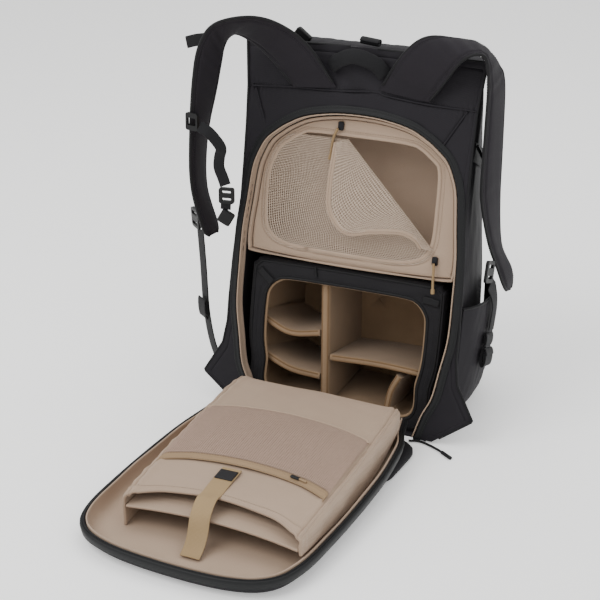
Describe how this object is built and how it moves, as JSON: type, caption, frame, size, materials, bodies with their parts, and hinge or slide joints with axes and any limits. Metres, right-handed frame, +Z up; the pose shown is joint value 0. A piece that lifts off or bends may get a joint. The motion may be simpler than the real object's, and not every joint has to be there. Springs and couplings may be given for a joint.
{
  "type": "camera backpack",
  "caption": "Rear-access camera backpack standing open: back panel folded down with its device sleeves, netting compartment above and padded divider pod below.",
  "frame": {"origin": "on the floor, under the middle of the bag's base", "axes": "+Z up, -Y out of the open rear face towards the lowered door, +X to the right as seen from the rear face"},
  "size_m": [0.4395, 0.7105, 0.554],
  "materials": {
    "beige_lining": "matte woven",
    "beige_netting": "open netting",
    "black_acetal": "satin",
    "black_webbing": "ribbed webbing",
    "blackened_wire": "dark satin",
    "coated_zip_tape": "satin coated tape",
    "pod_nylon": "matte woven",
    "shell_nylon": "matte woven",
    "strap_nylon": "matte woven",
    "tan_brushed_liner": "brushed",
    "tan_webbing": "ribbed webbing"
  },
  "bodies": {
    "root": {"back_frame": "shell_nylon", "opening_zip": "coated_zip_tape", "opening_binding": "beige_lining", "body_shell": "shell_nylon", "roll_top": "shell_nylon", "compartment_liner": "beige_lining", "compartment_front": "beige_lining", "mesh_panel": "beige_netting", "camera_pod": "pod_nylon", "pod_lining": "tan_brushed_liner", "pod_divider_main": "tan_brushed_liner", "pod_shelf_left_upper": "tan_brushed_liner", "pod_shelf_left_lower": "tan_brushed_liner", "pod_shelf_right": "tan_brushed_liner", "pod_divider_right": "tan_brushed_liner", "door_panel": "shell_nylon", "door_lining": "beige_lining", "door_zip": "coated_zip_tape", "lumbar_pad": "black_webbing", "back_pad": "black_webbing", "door_hinge": "beige_lining", "laptop_sleeve": "beige_lining", "tablet_divider": "beige_lining", "mesh_pocket": "beige_netting", "pocket_zip": "beige_lining", "sleeve_strap": "tan_webbing", "shoulder_strap_left": "strap_nylon", "shoulder_strap_right": "strap_nylon", "lower_webbing_left": "black_webbing", "ladder_lock_left": "black_acetal", "strap_tab_left": "black_webbing", "webbing_keeper_left": "black_webbing", "sternum_ladder_left": "black_acetal", "sternum_webbing": "black_webbing", "sternum_adjuster": "black_acetal", "sternum_web_end": "black_webbing", "sternum_buckle": "black_acetal", "rail_webbing_left": "black_webbing", "strap_loop_left": "black_webbing", "grab_handle": "black_webbing", "roll_strap_keeper": "black_webbing", "roll_strap_buckle": "black_acetal", "compression_strap_right": "black_webbing", "compression_pull_right": "black_acetal", "compression_hook_right": "blackened_wire", "side_pocket_right": "shell_nylon", "lower_webbing_right": "black_webbing", "ladder_lock_right": "black_acetal", "webbing_keeper_right": "black_webbing", "rolled_tail_right": "black_webbing", "window_slider_upper": "blackened_wire", "window_pull_upper": "tan_webbing", "window_slider_lower": "blackened_wire", "window_pull_lower": "tan_webbing", "base_zip_pull": "black_webbing"}
  },
  "joints": []
}
